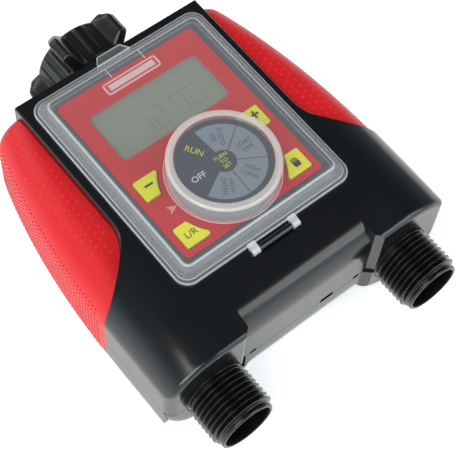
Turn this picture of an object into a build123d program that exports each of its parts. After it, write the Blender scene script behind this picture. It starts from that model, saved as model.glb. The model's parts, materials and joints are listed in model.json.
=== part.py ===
"""Two-outlet drip irrigation timer, lying on its back with the control panel facing up.

Millimetres. +Z points out of the control panel, the hose outlets point towards -Y, the tap inlet points
towards +Y, and X = 0 is the middle plane. The back of the housing rests on Z = 0.
"""

import os
from math import cos, pi, radians, sin

from build123d import *

os.makedirs("parts", exist_ok=True)

# ---------------------------------------------------------------- driving dimensions

# Water way
AXIS_Z = 26.0  # height of the inlet and outlet axes, and of the seam between the two shells
OUTLET_X = 47.2  # outlet axes stand this far each side of the middle plane
THREAD_R = 13.495  # 3/4 in garden hose thread, 26.99 mm over the crests
THREAD_ROOT_R = 12.25
THREAD_PITCH = 25.4 / 11.5
THREAD_TURNS = 8
FIRST_CREST_Y = -78.1
OUTLET_TIP_Y = -97.0
OUTLET_BORE_R = 10.2
BOSS_R = 13.2
HOOD_WALL = 3.2
LOWER_BOSS_R = 21.6

# Housing
HALF_WIDTH = 68.8
BACK_Y = 54.0
CENTRE_FRONT_Y = -74.2  # stepped-back face between the outlets
HOOD_FRONT_Y = -77.0  # front edge of the two outlet hoods
HOOD_INNER_X = 30.4
DIP_START_Y = -56.0  # from here the deck dips towards the hood edges
DIP_SECTIONS = [(DIP_START_Y, 56.0), (-63, 55.8), (-70, 55.3), (-78, 54.5)]
DECK_Z = 56.0  # flat deck that carries the lid
DECK_HALF_WIDTH = 44.9
GRIP_TOP_Z = 51.4
GRIP_THICKNESS = 2.4
GRIP_BOTTOM_Z = 8.0
WALL = 2.2
GAP = 0.3

# Control panel
PANEL_HALF_X = 33.3
PANEL_FRONT_Y = -40.8
PANEL_BACK_Y = 42.4
PANEL_TOP_Z = 58.6
PANEL_THICKNESS = 1.6
BEZEL_HALF_X = 37.0
BEZEL_HALF_Y = 45.2
DIAL_Y = -20.3
DIAL_R = 19.3
DIAL_TOP_Z = 69.0
KEY_TRAVEL = 0.8
KEY_TOP_Z = 59.7
KEY_ARC_R = 25.1  # the keys are cut back in an arc about the dial
BOARD_TOP_Z = 50.2
BOARD_THICKNESS = 1.6

# Lid
LID_HALF_X = 41.5
LID_HALF_Y = 49.8
LID_TOP_HALF_X = 36.3
LID_TOP_HALF_Y = 44.3
LID_BASE_Z = DECK_Z + 0.3
FLANGE_TOP_Z = DECK_Z + 1.7
LID_TOP_Z = 61.6
LID_WALL = 1.3
WINDOW_R = 22.6
WINDOW_TOP_Z = 70.7
HINGE_Y = -51.9
HINGE_Z = 55.6
PIN_R = 0.9
PIN_CLEARANCE = 0.05

# Inlet nut
NUT_BACK_Y = 80.0
NUT_FRONT_Y = 60.5
NUT_R = 18.0
LUG_R = 25.7
LUG_COUNT = 5
LUG_FIRST_ANGLE = 46.0
STEM_R = 10.9

# Battery compartment
CELL_R = 7.1
CELL_LENGTH = 50.0
CELL_COUNT = 4
CELL_PITCH = 14.9
BAY_HALF_X = 31.0
BAY_FRONT_Y = -46.0
BAY_BACK_Y = 16.0
BAY_TOP_Z = 20.5
COVER_THICKNESS = 2.2

# Housing outline: half width at stations along Y, from the inlet end to the outlet end
STATIONS = [(BACK_Y, 55.5), (30, 61.8), (5, 66.0), (-20, 68.2), (-45, HALF_WIDTH), (CENTRE_FRONT_Y, HALF_WIDTH)]
TOP_CORNER_R = 14.0
BOTTOM_CORNER_R = 18.0

SIDES = {"left": -1, "right": 1}


# ---------------------------------------------------------------- shared forms


def housing_form(inset):
    """Rounded tub of the housing below its deck, drawn in from its outer face by inset."""
    with BuildPart() as form:
        for y, half_width in STATIONS:
            station_y = min(y, BACK_Y - inset)
            with BuildSketch(Plane.XZ.offset(-station_y)) as section:
                with Locations((0, GRIP_TOP_Z / 2)):
                    Rectangle(2 * (half_width - inset), GRIP_TOP_Z - 2 * inset)
                rows = section.vertices().group_by(Axis.Y)
                fillet(rows[-1], TOP_CORNER_R - inset)
                rows = section.vertices().group_by(Axis.Y)
                fillet(rows[0], BOTTOM_CORNER_R - inset)
        loft()
        end_face = form.faces().sort_by(Axis.Y)[-1]
        fillet(end_face.edges(), 6)
    return form.part


def grip_zone(gap, low_z, high_z):
    """Upright prism over both grips, with S-curved front ends, drawn in by gap."""
    with BuildPart() as zone:
        with BuildSketch(Plane.XY.offset(low_z)):
            with BuildLine():
                inner = 45.1 + gap
                Line((inner, BACK_Y + 10), (inner, -8))
                Spline(
                    (inner, -8),
                    (50.4 + gap, -22.3 + gap),
                    (61, -32.5 + gap),
                    (75, -38 + gap),
                    tangents=[(0, -1), (1, -0.1)],
                )
                Line((75, -38 + gap), (75, BACK_Y + 10))
                Line((75, BACK_Y + 10), (inner, BACK_Y + 10))
            make_face()
            mirror(about=Plane.YZ)
        extrude(amount=high_z - low_z)
    return zone.part


def shoulder_section(y, top_z):
    """Cross profile of the upper shell: flat deck falling away in an elliptical shoulder on both sides."""
    with BuildSketch(Plane.XZ.offset(-y)) as section:
        with BuildLine():
            Line((0, top_z), (0, AXIS_Z))
            Line((0, AXIS_Z), (HALF_WIDTH, AXIS_Z))
            Line((HALF_WIDTH, AXIS_Z), (HALF_WIDTH, 40))
            EllipticalCenterArc((45, 40), HALF_WIDTH - 45, top_z - 40, 0, arc_size=90)
            Line((45, top_z), (0, top_z))
        make_face()
        mirror(about=Plane.YZ)
    return section.sketch


def shoulder_block():
    """Upper shell seen as one bar along Y, whose top dips a little towards the outlet end."""
    with BuildPart() as block:
        add(shoulder_section(BACK_Y + 1, DECK_Z))
        extrude(amount=BACK_Y + 1 - DIP_START_Y, dir=(0, -1, 0))
        loft([shoulder_section(y, top_z).face() for y, top_z in DIP_SECTIONS])
    return block.part


def centre_cutter():
    """What is taken away between the hoods, so that the centre rolls over to its stepped-back face."""
    with BuildPart() as cutter:
        with BuildSketch(Plane.XY.offset(AXIS_Z - 1)):
            with BuildLine():
                Polyline(
                    (-34.6, HOOD_FRONT_Y - 3),
                    (-34.2, HOOD_FRONT_Y),
                    (-31.2, CENTRE_FRONT_Y),
                    (-HOOD_INNER_X, -62),
                    (HOOD_INNER_X, -62),
                    (31.2, CENTRE_FRONT_Y),
                    (34.2, HOOD_FRONT_Y),
                    (34.6, HOOD_FRONT_Y - 3),
                    close=True,
                )
            make_face()
        extrude(amount=DECK_Z + 4 - AXIS_Z)
        with BuildSketch(Plane.YZ.offset(-40)):
            with BuildLine():
                Line((-64.5, DECK_Z + 4), (-64.5, 55.75))
                EllipticalCenterArc((-64.5, 43), -64.5 - CENTRE_FRONT_Y, 12.75, 90, arc_size=90)
                Line((CENTRE_FRONT_Y, 43), (CENTRE_FRONT_Y, AXIS_Z - 2))
                Line((CENTRE_FRONT_Y, AXIS_Z - 2), (HOOD_FRONT_Y - 5, AXIS_Z - 2))
                Line((HOOD_FRONT_Y - 5, AXIS_Z - 2), (HOOD_FRONT_Y - 5, DECK_Z + 4))
                Line((HOOD_FRONT_Y - 5, DECK_Z + 4), (-64.5, DECK_Z + 4))
            make_face()
        extrude(amount=80, mode=Mode.INTERSECT)
    return cutter.part


def deck_form():
    """Upper shell block: deck, broad shoulders and outlet hoods, down to the seam."""
    with BuildPart() as form:
        # Plan, with the two grip zones left out
        with BuildSketch(Plane.XY.offset(AXIS_Z)) as plan:
            with Locations((0, (BACK_Y - 0.2 + HOOD_FRONT_Y) / 2)):
                Rectangle(2 * HALF_WIDTH, BACK_Y - 0.2 - HOOD_FRONT_Y)
            fillet(plan.vertices().group_by(Axis.Y)[0], 4.5)
        extrude(amount=DECK_Z - AXIS_Z)
        add(grip_zone(0, AXIS_Z - 1, DECK_Z + 1), mode=Mode.SUBTRACT)
        # Lip along the grips
        side_rim = form.edges().filter_by_position(Axis.Z, DECK_Z, DECK_Z)
        side_rim = side_rim.filter_by(lambda edge: 45 < abs(edge.center().X) < 68 and edge.center().Y > -40)
        fillet(side_rim, 0.9)
        add(shoulder_block(), mode=Mode.INTERSECT)
        add(centre_cutter(), mode=Mode.SUBTRACT)
        # Rounded front edges of the hoods
        rim = form.edges().filter_by(lambda edge: on_hood_rim(edge))
        fillet(rim, 2.2)
    return form.part


def on_hood_rim(edge):
    """True for the edges round a hood's front face, above the seam."""
    return all(abs(vertex.Y - HOOD_FRONT_Y) < 0.01 for vertex in edge.vertices()) and edge.center().Z > AXIS_Z + 1


def turned(profile, x=0.0):
    """Solid turned about a water-way axis along Y from an outline of (y, radius) points."""
    with BuildPart() as piece:
        with BuildSketch(Plane.YZ.offset(x)):
            with BuildLine():
                Polyline(*[(y, AXIS_Z + r) for y, r in profile], close=True)
            make_face()
        revolve(axis=Axis((x, 0, AXIS_Z), (0, 1, 0)))
    return piece.part


def upright(profile, x=0.0, y=0.0):
    """Solid turned about an upright axis from an outline of (radius, z) points."""
    with BuildPart() as piece:
        with BuildSketch(Plane.XZ.offset(-y)):
            with BuildLine():
                Polyline(*[(x + r, z) for r, z in profile], close=True)
            make_face()
        revolve(axis=Axis((x, y, 0), (0, 0, 1)))
    return piece.part


def box_between(low, high):
    """Rectangular block between two opposite corners."""
    size = [b - a for a, b in zip(low, high)]
    middle = [(a + b) / 2 for a, b in zip(low, high)]
    with BuildPart() as block:
        with Locations(tuple(middle)):
            Box(*size)
    return block.part


def rounded_plate(half_x, front_y, back_y, corner_r, low_z, high_z):
    """Flat plate with rounded corners, centred on X = 0."""
    with BuildPart() as plate:
        with BuildSketch(Plane.XY.offset(low_z)):
            with Locations((0, (front_y + back_y) / 2)):
                RectangleRounded(2 * half_x, back_y - front_y, corner_r)
        extrude(amount=high_z - low_z)
    return plate.part


def coil_spring(centre, coil_r, wire_r, height, turns, direction=(0, 0, 1)):
    """Round-wire helical spring that rises from centre along direction."""
    with BuildPart() as spring:
        with BuildLine():
            route = Helix(pitch=height / turns, height=height, radius=coil_r, center=centre, direction=direction)
        with BuildSketch(Plane(origin=route @ 0, z_dir=route % 0)):
            Circle(wire_r)
        sweep(path=route, is_frenet=True)
    return spring.part


def key_outline(side, end, grow):
    """Five-sided key outline: a rectangle with its dial corner cut back in an arc."""
    with BuildSketch(mode=Mode.PRIVATE) as outline:
        with Locations((side * 24.9, DIAL_Y + end * 12.45)):
            RectangleRounded(10.8 + 2 * grow, 9.7 + 2 * grow, 0.6 + grow)
        with Locations((0, DIAL_Y)):
            Circle(KEY_ARC_R - grow, mode=Mode.SUBTRACT)
    return outline.sketch


KEYS = {"minus": (-1, 1), "plus": (1, 1), "outlet": (-1, -1), "manual": (1, -1)}


# ---------------------------------------------------------------- housing shells

outer_form = housing_form(0)
core_form = housing_form(GRIP_THICKNESS)
grip_inner_form = housing_form(GRIP_THICKNESS - 0.05)
with BuildPart() as cavity:
    add(housing_form(GRIP_THICKNESS + WALL))
    add(box_between((-90, -62.5, -5), (90, 90, 90)), mode=Mode.INTERSECT)
cavity_form = cavity.part
below_seam = box_between((-90, -90, -10), (90, 90, AXIS_Z))
above_seam = box_between((-90, -90, AXIS_Z), (90, 90, 90))

SCREW_POSTS = [(-60, -18), (60, -18), (-38, 44), (38, 44), (-29, -66), (29, -66)]
POST_TOPS = [46, 46, 54, 54, 46, 46]
POST_R = 3.4
FRONT_SLOTS = [(-26.3, 3.0, 1.1), (26.3, 3.0, 1.1), (11, 6.5, 1.8)]  # x, width, height above the seam
SEAM_REVEAL = 0.25  # shadow line between the two shells
SCREW_R = 1.5


def hood_hollow(side):
    """Round hollow between the front wall of a hood and the rib that holds the outlet's flange."""
    front_y = HOOD_FRONT_Y + HOOD_WALL
    return turned([(front_y, 0), (front_y, 18.2), (-66, 18.2), (-66, 0)], side * OUTLET_X)


with BuildPart() as front_housing:
    add(core_form)
    add(deck_form())
    add(centre_cutter(), mode=Mode.SUBTRACT)
    add(below_seam, mode=Mode.SUBTRACT)
    # Hollow inside, with deeper pockets under the deck and the front shoulders
    add(cavity_form, mode=Mode.SUBTRACT)
    add(box_between((-41, -62.5, 30), (41, 49, DECK_Z - 2.4)), mode=Mode.SUBTRACT)
    add(box_between((-59.5, -62.5, 30), (59.5, -36.2, 49.6)), mode=Mode.SUBTRACT)
    add(box_between((-29.5, -71.8, AXIS_Z), (29.5, -60, 44)), mode=Mode.SUBTRACT)
    for side in SIDES.values():
        add(hood_hollow(side), mode=Mode.SUBTRACT)
        # Half-round saddle over the outlet boss
        with BuildSketch(Plane.XZ.offset(61)):
            with Locations((side * OUTLET_X, AXIS_Z)):
                Circle(BOSS_R + 0.05)
        extrude(amount=18, mode=Mode.SUBTRACT)
    # Opening for the inlet stem
    with BuildSketch(Plane.XZ.offset(-48)):
        with Locations((0, AXIS_Z)):
            Circle(11.5)
    extrude(amount=-8, mode=Mode.SUBTRACT)
    # Panel opening in the deck
    add(rounded_plate(34.6, -42.8, 43.6, 3, DECK_Z - 5, DECK_Z + 1), mode=Mode.SUBTRACT)
    # Hinge recess with the knuckle standing in it
    add(box_between((-13.6, -55.8, DECK_Z - 4.6), (13.6, -48.0, DECK_Z - 1)))
    add(box_between((-12.2, -54.4, DECK_Z - 3.2), (12.2, -49.4, DECK_Z + 1)), mode=Mode.SUBTRACT)
    with BuildSketch(Plane.YZ.offset(-7.7)):
        with Locations((HINGE_Y, HINGE_Z)):
            Circle(1.7)
        with Locations((HINGE_Y, HINGE_Z - 1.8)):
            Rectangle(3.4, 3.6)
    extrude(amount=15.4)
    with BuildSketch(Plane.YZ.offset(-8)):
        with Locations((HINGE_Y, HINGE_Z)):
            Circle(PIN_R)
    extrude(amount=16, mode=Mode.SUBTRACT)
    # Screw posts
    for post, top_z in zip(SCREW_POSTS, POST_TOPS):
        with BuildSketch(Plane.XY.offset(AXIS_Z)):
            with Locations(post):
                Circle(POST_R)
        extrude(amount=top_z - AXIS_Z)
    with BuildSketch(Plane.XY.offset(AXIS_Z)):
        with Locations(*SCREW_POSTS):
            Circle(SCREW_R)
    extrude(amount=14, mode=Mode.SUBTRACT)
    # Two snap windows and the pry slot on the centre face, just above the seam
    for x, width, height in FRONT_SLOTS:
        low = (x - width / 2, CENTRE_FRONT_Y - 1, AXIS_Z - 1)
        high = (x + width / 2, CENTRE_FRONT_Y + 1.8, AXIS_Z + height)
        add(box_between(low, high), mode=Mode.SUBTRACT)
front_housing.part.label = "front_housing"


def long_profile_below():
    """Side view of the rear shell: rounded under the outlets and under the inlet end."""
    with BuildPart() as block:
        with BuildSketch(Plane.YZ.offset(-90)) as face:
            with Locations(((CENTRE_FRONT_Y + BACK_Y) / 2, AXIS_Z / 2)):
                Rectangle(BACK_Y - CENTRE_FRONT_Y, AXIS_Z)
            low_corners = face.vertices().group_by(Axis.Y)[0].sort_by(Axis.X)
            fillet(low_corners[0], 20)
        extrude(amount=180)
    return block.part


with BuildPart() as rear_housing:
    add(outer_form)
    add(grip_zone(0, GRIP_BOTTOM_Z, 80), mode=Mode.SUBTRACT)
    add(core_form)
    add(above_seam, mode=Mode.SUBTRACT)
    add(long_profile_below(), mode=Mode.INTERSECT)
    # Bosses under the outlets
    edge_points = [
        (HOOD_FRONT_Y + 4.5 * (1 - cos(step * pi / 12)), LOWER_BOSS_R - 4.5 * (1 - sin(step * pi / 12)))
        for step in range(7)
    ]
    for side in SIDES.values():
        add(turned([(HOOD_FRONT_Y, 0)] + edge_points + [(-60, LOWER_BOSS_R), (-60, 0)], side * OUTLET_X))
    with BuildSketch(Plane.XY.offset(-1)):
        with BuildLine():
            Polyline(
                (-33.2, HOOD_FRONT_Y - 0.4),
                (-29.8, CENTRE_FRONT_Y),
                (29.8, CENTRE_FRONT_Y),
                (33.2, HOOD_FRONT_Y - 0.4),
                close=True,
            )
        make_face()
    extrude(amount=AXIS_Z + 1, mode=Mode.SUBTRACT)
    add(above_seam, mode=Mode.SUBTRACT)
    # Hollow inside
    add(cavity_form, mode=Mode.SUBTRACT)
    for side in SIDES.values():
        add(hood_hollow(side), mode=Mode.SUBTRACT)
        # Saddle under the outlet boss, open through the front wall
        with BuildSketch(Plane.XZ.offset(62)):
            with Locations((side * OUTLET_X, AXIS_Z)):
                Circle(BOSS_R + 0.05)
        extrude(amount=18, mode=Mode.SUBTRACT)
    # Opening for the inlet stem
    with BuildSketch(Plane.XZ.offset(-48)):
        with Locations((0, AXIS_Z)):
            Circle(11.5)
    extrude(amount=-8, mode=Mode.SUBTRACT)
    # Shadow line at the seam, and the lower halves of the front slots
    add(box_between((-90, -90, AXIS_Z - SEAM_REVEAL), (90, 90, AXIS_Z + 1)), mode=Mode.SUBTRACT)
    for x, width, _ in FRONT_SLOTS:
        low = (x - width / 2, CENTRE_FRONT_Y - 1, AXIS_Z - 0.9)
        high = (x + width / 2, CENTRE_FRONT_Y + 1.8, AXIS_Z + 1)
        add(box_between(low, high), mode=Mode.SUBTRACT)
    # Battery bay walls standing on the floor, and the opening for its cover
    add(box_between((-BAY_HALF_X - 1.8, BAY_FRONT_Y - 1.8, 3), (BAY_HALF_X + 1.8, BAY_BACK_Y + 1.8, 12)))
    add(box_between((-BAY_HALF_X, BAY_FRONT_Y, -1), (BAY_HALF_X, BAY_BACK_Y, 13)), mode=Mode.SUBTRACT)
    # Screw posts
    with BuildSketch(Plane.XY.offset(4)):
        with Locations(*SCREW_POSTS):
            Circle(POST_R)
    extrude(amount=AXIS_Z - 4)
    add(above_seam, mode=Mode.SUBTRACT)
    with BuildSketch(Plane.XY.offset(-1)):
        with Locations(*SCREW_POSTS):
            Circle(SCREW_R)
    extrude(amount=AXIS_Z + 2, mode=Mode.SUBTRACT)
    with BuildSketch(Plane.XY.offset(-1)):
        with Locations(*SCREW_POSTS):
            Circle(2.8)
    extrude(amount=9, mode=Mode.SUBTRACT)
rear_housing.part.label = "rear_housing"

# ---------------------------------------------------------------- grips

grips = {}
for name, side in SIDES.items():
    with BuildPart() as grip:
        add(outer_form)
        add(grip_inner_form, mode=Mode.SUBTRACT)
        add(grip_zone(0.1, GRIP_BOTTOM_Z, GRIP_TOP_Z + 1), mode=Mode.INTERSECT)
        add(box_between((min(0, side * 90), -90, 0), (max(0, side * 90), 90, 90)), mode=Mode.INTERSECT)
    grip.part.label = f"{name}_grip"
    grips[name] = grip.part

# ---------------------------------------------------------------- control panel

with BuildPart() as panel_bezel:
    add(rounded_plate(BEZEL_HALF_X, -BEZEL_HALF_Y, BEZEL_HALF_Y, 3.2, DECK_Z, PANEL_TOP_Z - 0.2))
    top_face = panel_bezel.faces().sort_by(Axis.Z)[-1]
    chamfer(top_face.edges(), 0.8)
    add(rounded_plate(34.3, -42.5, 43.3, 2.8, DECK_Z - 3, DECK_Z))
    add(rounded_plate(31.6, -39.2, 40.8, 2, DECK_Z - 4, PANEL_TOP_Z + 1), mode=Mode.SUBTRACT)
    seat_z = PANEL_TOP_Z - PANEL_THICKNESS
    add(
        rounded_plate(PANEL_HALF_X + 0.1, PANEL_FRONT_Y - 0.1, PANEL_BACK_Y + 0.1, 2.1, seat_z, PANEL_TOP_Z + 1),
        mode=Mode.SUBTRACT,
    )
panel_bezel.part.label = "panel_bezel"

DISPLAY_HALF_X = 26.4
DISPLAY_FRONT_Y = 6.9
DISPLAY_BACK_Y = 31.5

with BuildPart() as control_panel:
    seat_z = PANEL_TOP_Z - PANEL_THICKNESS
    add(rounded_plate(PANEL_HALF_X, PANEL_FRONT_Y, PANEL_BACK_Y, 2, seat_z, PANEL_TOP_Z))
    add(
        rounded_plate(DISPLAY_HALF_X, DISPLAY_FRONT_Y, DISPLAY_BACK_Y, 3, seat_z - 1, PANEL_TOP_Z + 1),
        mode=Mode.SUBTRACT,
    )
    with BuildSketch(Plane.XY.offset(seat_z - 1)):
        with Locations((0, DIAL_Y)):
            Circle(DIAL_R + 0.8)
        for side, end in KEYS.values():
            add(key_outline(side, end, 0.35))
    extrude(amount=PANEL_THICKNESS + 2, mode=Mode.SUBTRACT)
control_panel.part.label = "control_panel"

with BuildPart() as display_window:
    add(
        rounded_plate(
            DISPLAY_HALF_X - 0.05, DISPLAY_FRONT_Y + 0.05, DISPLAY_BACK_Y - 0.05, 2.95, seat_z, PANEL_TOP_Z - 0.4
        )
    )
display_window.part.label = "display_window"

with BuildPart() as display_module:
    add(rounded_plate(29, 4.6, 33.8, 0.6, 54.2, 56.9))
display_module.part.label = "display_module"

with BuildPart() as display_frame:
    add(rounded_plate(29, 4.6, 33.8, 1, BOARD_TOP_Z, 54.2))
    add(rounded_plate(26.5, 7, 31.4, 1, BOARD_TOP_Z - 1, 55), mode=Mode.SUBTRACT)
display_frame.part.label = "display_frame"

with BuildPart() as panel_badge:
    add(rounded_plate(12.9, 34.6, 40.3, 1.2, PANEL_TOP_Z, PANEL_TOP_Z + 0.3))
panel_badge.part.label = "panel_badge"

with BuildPart() as control_board:
    add(rounded_plate(33.5, -41.6, 42.4, 1.5, BOARD_TOP_Z - BOARD_THICKNESS, BOARD_TOP_Z))
    with BuildSketch(Plane.XY.offset(BOARD_TOP_Z - 3)):
        with Locations((-31.4, -39.5), (31.4, -39.5), (-31.4, 39.8), (31.4, 39.8)):
            Circle(1.0)
    extrude(amount=4, mode=Mode.SUBTRACT)
control_board.part.label = "control_board"

BOARD_POSTS = [(-31.4, -39.5), (31.4, -39.5), (-31.4, 39.8), (31.4, 39.8)]

with BuildPart() as board_screws:
    with BuildSketch(Plane.XY.offset(BOARD_TOP_Z - BOARD_THICKNESS - 1.2)):
        with Locations(*BOARD_POSTS):
            Circle(1.8)
    extrude(amount=1.2)
    with BuildSketch(Plane.XY.offset(BOARD_TOP_Z - BOARD_THICKNESS)):
        with Locations(*BOARD_POSTS):
            Circle(0.95)
    extrude(amount=BOARD_THICKNESS + 2)
board_screws.part.label = "board_screws"

with BuildPart() as board_spacers:
    with BuildSketch(Plane.XY.offset(BOARD_TOP_Z)):
        with Locations(*BOARD_POSTS):
            Circle(2.0)
            Circle(1.0, mode=Mode.SUBTRACT)
    extrude(amount=DECK_Z - 3 - BOARD_TOP_Z)
board_spacers.part.label = "board_spacers"

# ---------------------------------------------------------------- keys and dial

key_parts = {}
for name, (side, end) in KEYS.items():
    with BuildPart() as key:
        with BuildSketch(Plane.XY.offset(55.8)):
            add(key_outline(side, end, 0))
        extrude(amount=KEY_TOP_Z - 55.8)
        chamfer(key.faces().sort_by(Axis.Z)[-1].edges(), 0.35)
        # Flange that keeps the key under the panel
        with BuildSketch(Plane.XY.offset(55.9)):
            add(key_outline(side, end, 1.0))
        extrude(amount=0.8)
        # Stem over the switch
        with BuildSketch(Plane.XY.offset(53.9)):
            with Locations((side * 26, DIAL_Y + end * 13.5)):
                Circle(2)
        extrude(amount=2.0)
    key.part.label = f"{name}_button"
    key_parts[f"{name}_button"] = key.part

with BuildPart() as key_switches:
    for side, end in KEYS.values():
        x = side * 26
        y = DIAL_Y + end * 13.5
        add(box_between((x - 3, y - 3, BOARD_TOP_Z), (x + 3, y + 3, BOARD_TOP_Z + 2.0)))
        with BuildSketch(Plane.XY.offset(BOARD_TOP_Z + 2.0)):
            with Locations((x, y)):
                Circle(1.7)
        extrude(amount=0.6)
key_switches.part.label = "key_switches"

with BuildPart() as rotary_switch:
    add(box_between((-7, DIAL_Y - 7, BOARD_TOP_Z), (7, DIAL_Y + 7, 55.4)))
    with BuildSketch(Plane.XY.offset(55.4)):
        with Locations((0, DIAL_Y)):
            Circle(5)
    extrude(amount=1.6)
    with BuildSketch(Plane.XY.offset(BOARD_TOP_Z + 0.6)):
        with Locations((0, DIAL_Y)):
            Circle(3.05)
    extrude(amount=8, mode=Mode.SUBTRACT)
rotary_switch.part.label = "rotary_switch"

with BuildPart() as dial_shaft:
    with BuildSketch(Plane.XY.offset(BOARD_TOP_Z + 1.0)):
        with Locations((0, DIAL_Y)):
            Circle(3.0)
    extrude(amount=66.5 - BOARD_TOP_Z - 1.0)
    # Flat for the knob
    add(box_between((1.8, DIAL_Y - 4, 59.5), (4, DIAL_Y + 4, 67)), mode=Mode.SUBTRACT)
dial_shaft.part.label = "dial_shaft"

with BuildPart() as dial_knob:
    disc_seat_z = DIAL_TOP_Z - 0.6
    # Hollow cup with a socket for the shaft
    add(
        upright(
            [(0, 66.7), (0, disc_seat_z), (18.6, disc_seat_z), (18.6, DIAL_TOP_Z), (18.9, DIAL_TOP_Z),
             (DIAL_R, DIAL_TOP_Z - 0.6), (DIAL_R, 57.4), (17.8, 57.4), (17.8, 66.7)],
            0,
            DIAL_Y,
        )
    )
    with BuildSketch(Plane.XY.offset(59.6)):
        with Locations((0, DIAL_Y)):
            Circle(5)
            Circle(3.02, mode=Mode.SUBTRACT)
        with Locations((2.9, DIAL_Y)):
            Rectangle(2.1, 5)
    extrude(amount=7.2)
dial_knob.part.label = "dial_knob"

with BuildPart() as dial_disc:
    with BuildSketch(Plane.XY.offset(DIAL_TOP_Z - 0.6)):
        with Locations((0, DIAL_Y)):
            Circle(18.55)
    extrude(amount=0.55)
dial_disc.part.label = "dial_disc"

# ---------------------------------------------------------------- lid


def lid_walls(half_x, half_y, top_half_x, top_half_y, low_z, high_z, corner_r):
    """Tapered box of the lid."""
    with BuildPart() as walls:
        with BuildSketch(Plane.XY.offset(low_z)):
            RectangleRounded(2 * half_x, 2 * half_y, corner_r)
        with BuildSketch(Plane.XY.offset(high_z)):
            RectangleRounded(2 * top_half_x, 2 * top_half_y, corner_r - 2.2)
        loft()
    return walls.part


with BuildPart() as lid:
    add(rounded_plate(LID_HALF_X, -LID_HALF_Y, LID_HALF_Y, 6, LID_BASE_Z, FLANGE_TOP_Z))
    add(lid_walls(39.8, 48.0, LID_TOP_HALF_X, LID_TOP_HALF_Y, FLANGE_TOP_Z, LID_TOP_Z, 4.6))
    # Raised round window over the dial
    add(
        upright(
            [(0, 60), (WINDOW_R, 60), (WINDOW_R - 0.3, WINDOW_TOP_Z - 0.8), (WINDOW_R - 1.1, WINDOW_TOP_Z),
             (0, WINDOW_TOP_Z)],
            0,
            DIAL_Y,
        )
    )
    add(lid_walls(38.9, 47.1, 35.1, 43.1, LID_BASE_Z - 1, LID_TOP_Z - LID_WALL, 4), mode=Mode.SUBTRACT)
    add(
        upright(
            [(0, 59), (WINDOW_R - 1, 59), (WINDOW_R - 1.3, WINDOW_TOP_Z - 1.3), (0, WINDOW_TOP_Z - 1.3)], 0, DIAL_Y
        ),
        mode=Mode.SUBTRACT,
    )
    # Thumb tab at the inlet end
    with BuildSketch(Plane.XY.offset(LID_BASE_Z)):
        with BuildLine():
            Polyline((-8, LID_HALF_Y - 0.5), (-5.5, 53.4), (5.5, 53.4), (8, LID_HALF_Y - 0.5), close=True)
        make_face()
    extrude(amount=FLANGE_TOP_Z - LID_BASE_Z)
    # Hinge lugs
    for x in (-11.4, 8.1):
        with BuildSketch(Plane.YZ.offset(x)):
            with Locations((HINGE_Y, HINGE_Z)):
                Circle(1.8)
            with BuildLine():
                Polyline(
                    (HINGE_Y, HINGE_Z + 1.8),
                    (-49.0, FLANGE_TOP_Z + 0.6),
                    (-49.7, LID_BASE_Z),
                    (HINGE_Y + 1.4, HINGE_Z - 1.1),
                    (HINGE_Y, HINGE_Z),
                    close=True,
                )
            make_face()
        extrude(amount=3.3)
    with BuildSketch(Plane.YZ.offset(-12)):
        with Locations((HINGE_Y, HINGE_Z)):
            Circle(PIN_R + PIN_CLEARANCE)
    extrude(amount=24, mode=Mode.SUBTRACT)
lid.part.label = "lid"

with BuildPart() as hinge_pin:
    with BuildSketch(Plane.YZ.offset(-11.6)):
        with Locations((HINGE_Y, HINGE_Z)):
            Circle(PIN_R)
    extrude(amount=23.2)
hinge_pin.part.label = "hinge_pin"

# ---------------------------------------------------------------- outlets and valves


def outlet_profile():
    """Outline of a threaded outlet from its tip back to the flange held by the housing."""
    points = [(OUTLET_TIP_Y, OUTLET_BORE_R + 0.5), (OUTLET_TIP_Y, THREAD_ROOT_R - 0.5)]
    points.append((OUTLET_TIP_Y + 0.6, THREAD_ROOT_R))
    crest_half = 0.35
    flank = 0.5
    for turn in reversed(range(THREAD_TURNS)):
        y = FIRST_CREST_Y - turn * THREAD_PITCH
        points.append((y - crest_half - flank, THREAD_ROOT_R))
        points.append((y - crest_half, THREAD_R))
        points.append((y + crest_half, THREAD_R))
        points.append((y + crest_half + flank, THREAD_ROOT_R))
    points += [(-76.2, THREAD_ROOT_R), (-75.4, BOSS_R), (-62.5, BOSS_R), (-62.5, 16.3), (-60.0, 16.3)]
    points += [(-60.0, 8.0), (-55.5, 8.0), (-55.5, 6.0), (-62.0, 6.0), (-66.0, OUTLET_BORE_R)]
    points += [(OUTLET_TIP_Y + 0.5, OUTLET_BORE_R)]
    return points


outlets = {}
for name, side in SIDES.items():
    with BuildPart() as outlet:
        add(turned(outlet_profile(), side * OUTLET_X))
    outlet.part.label = f"{name}_outlet"
    outlets[name] = outlet.part

VALVE_Y = -46.5
VALVE_TOP_Z = 36.0
BONNET_TOP_Z = 39.2
COIL_TOP_Z = 49.0
PLUNGER_LIFT = 2.0

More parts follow.
